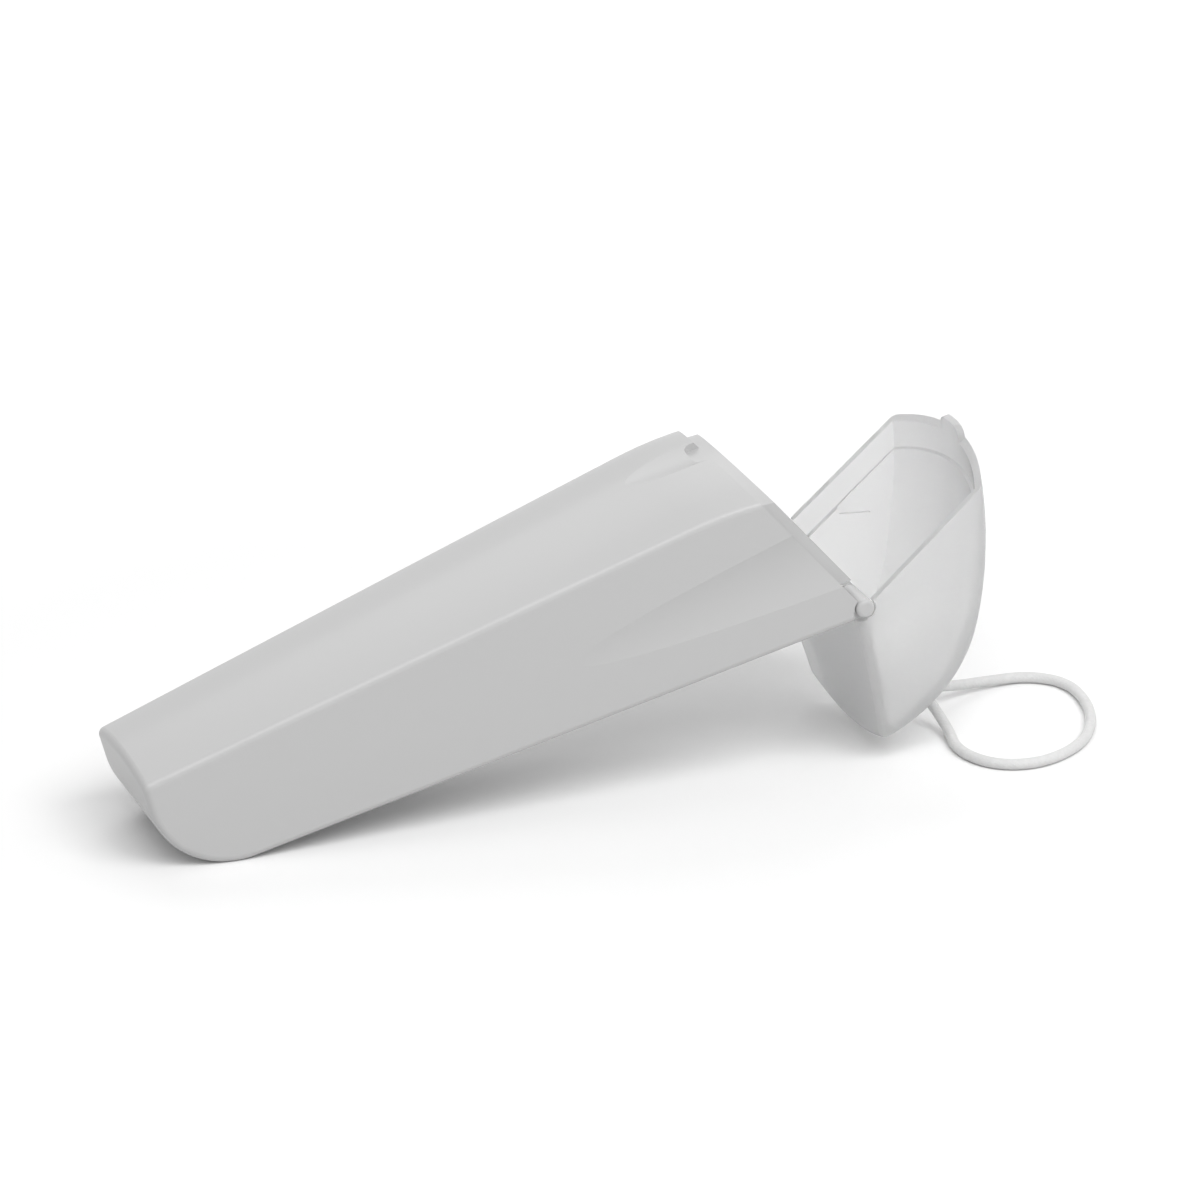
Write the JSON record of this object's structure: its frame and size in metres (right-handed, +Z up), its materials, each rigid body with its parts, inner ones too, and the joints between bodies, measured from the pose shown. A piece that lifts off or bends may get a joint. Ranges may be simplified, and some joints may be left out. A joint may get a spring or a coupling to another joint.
{
  "type": "travel toothbrush holder",
  "caption": "Long tapered travel case for a toothbrush and paste, with a rounded hinged lid opened square as a prop and a wrist cord loop.",
  "frame": {"origin": "centre of the bounding box's bottom face, with the case standing as in use: lid opened square, nose and heel on the ground", "axes": "+X along the case from its narrow end toward the mouth and lid, +Y across the case, +Z up from the ground it stands on"},
  "size_m": [0.2228, 0.0596, 0.0708],
  "materials": {
    "case_plastic": "gloss",
    "lid_plastic": "gloss",
    "pin_plastic": "gloss",
    "cord_fabric": "matte"
  },
  "bodies": {
    "case": {"case_body": "case_plastic", "hinge_pin": "pin_plastic"},
    "lid": {"lid": "lid_plastic", "cord_knot": "cord_fabric", "wrist_cord": "cord_fabric"}
  },
  "joints": [
    {"name": "lid_hinge", "type": "hinge", "parent": "case", "child": "lid", "pos_m": [0.06301, 0, 0.03936], "axis": [0, -1, 0], "range_deg": [0, 90]}
  ]
}
